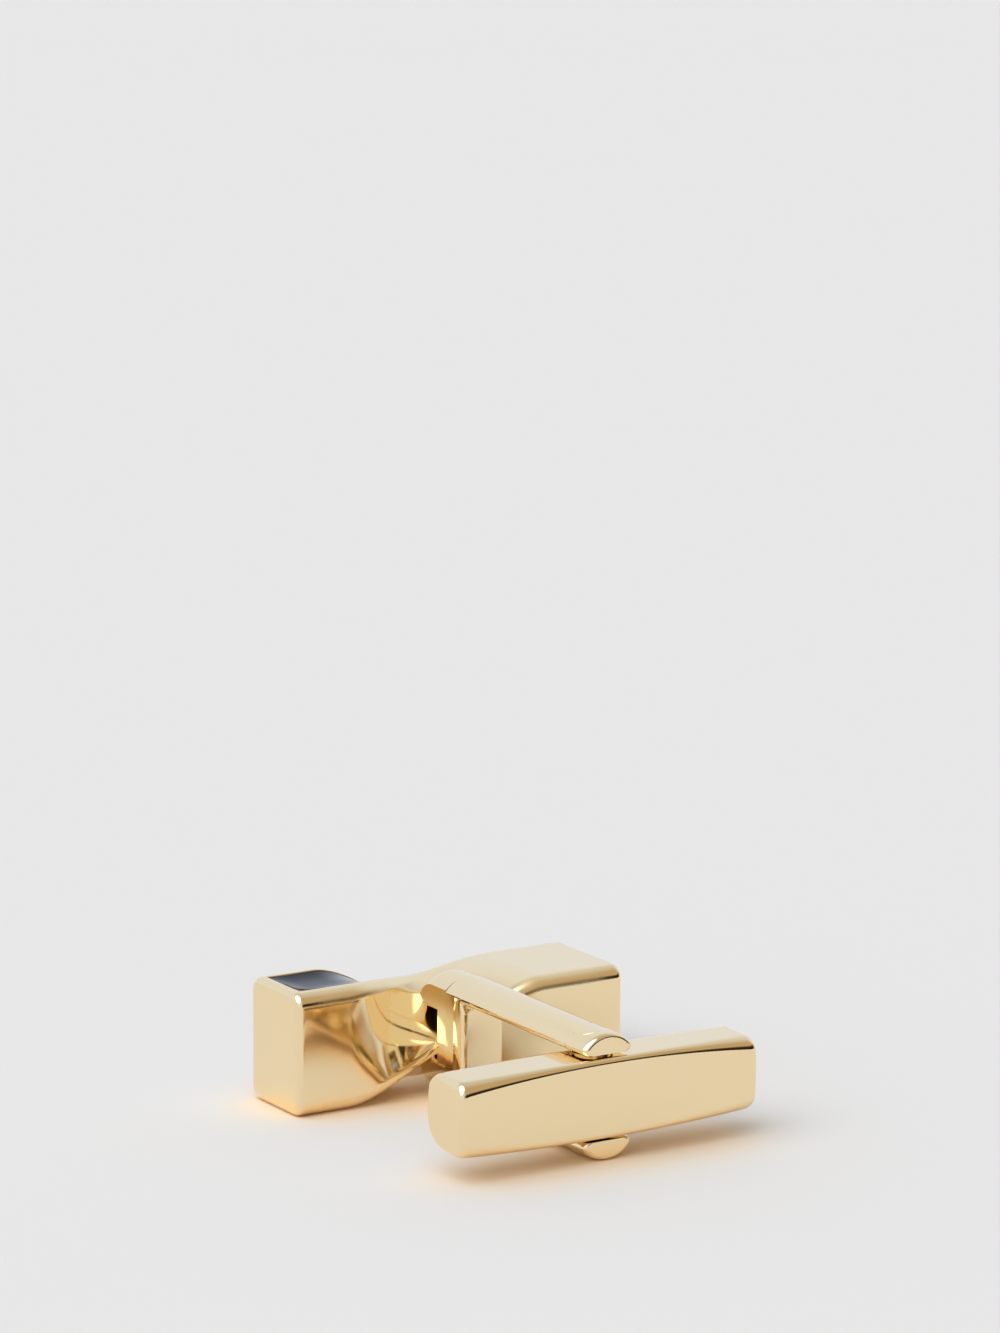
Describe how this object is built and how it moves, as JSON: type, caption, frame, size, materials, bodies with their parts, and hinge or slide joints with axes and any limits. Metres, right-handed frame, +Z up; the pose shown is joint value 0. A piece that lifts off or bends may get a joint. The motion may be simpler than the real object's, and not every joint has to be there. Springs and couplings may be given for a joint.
{
  "type": "cufflink",
  "caption": "Swivel-bar cufflink: a quarter-twisted, waisted bar head with a dark enamelled face, a half-round U post and a crowned toggle that swivels on a rivet.",
  "frame": {"origin": "middle of the object's outline on the table it lies on", "axes": "+X along the head, -Y from the head along the post to the toggle, +Z up from the table, along the toggle's rivet"},
  "size_m": [0.018, 0.0188, 0.0061],
  "materials": {
    "gold_plate": "mirror-polished pale gold plate on brass",
    "navy_enamel": "glossy navy-black enamel",
    "spring_steel": "bright rolled spring steel"
  },
  "bodies": {
    "head": {"head_bar": "gold_plate", "enamel_inlay": "navy_enamel", "braze_joint": "gold_plate", "post": "gold_plate", "pivot_rivet": "gold_plate"},
    "toggle": {"toggle_bar": "gold_plate", "click_spring": "spring_steel"}
  },
  "joints": [
    {"name": "toggle_swivel", "type": "hinge", "parent": "head", "child": "toggle", "pos_m": [0, -0.00765, 0.00305], "axis": [0, 0, 1], "continuous": true, "deforming": ["click_spring"]}
  ]
}
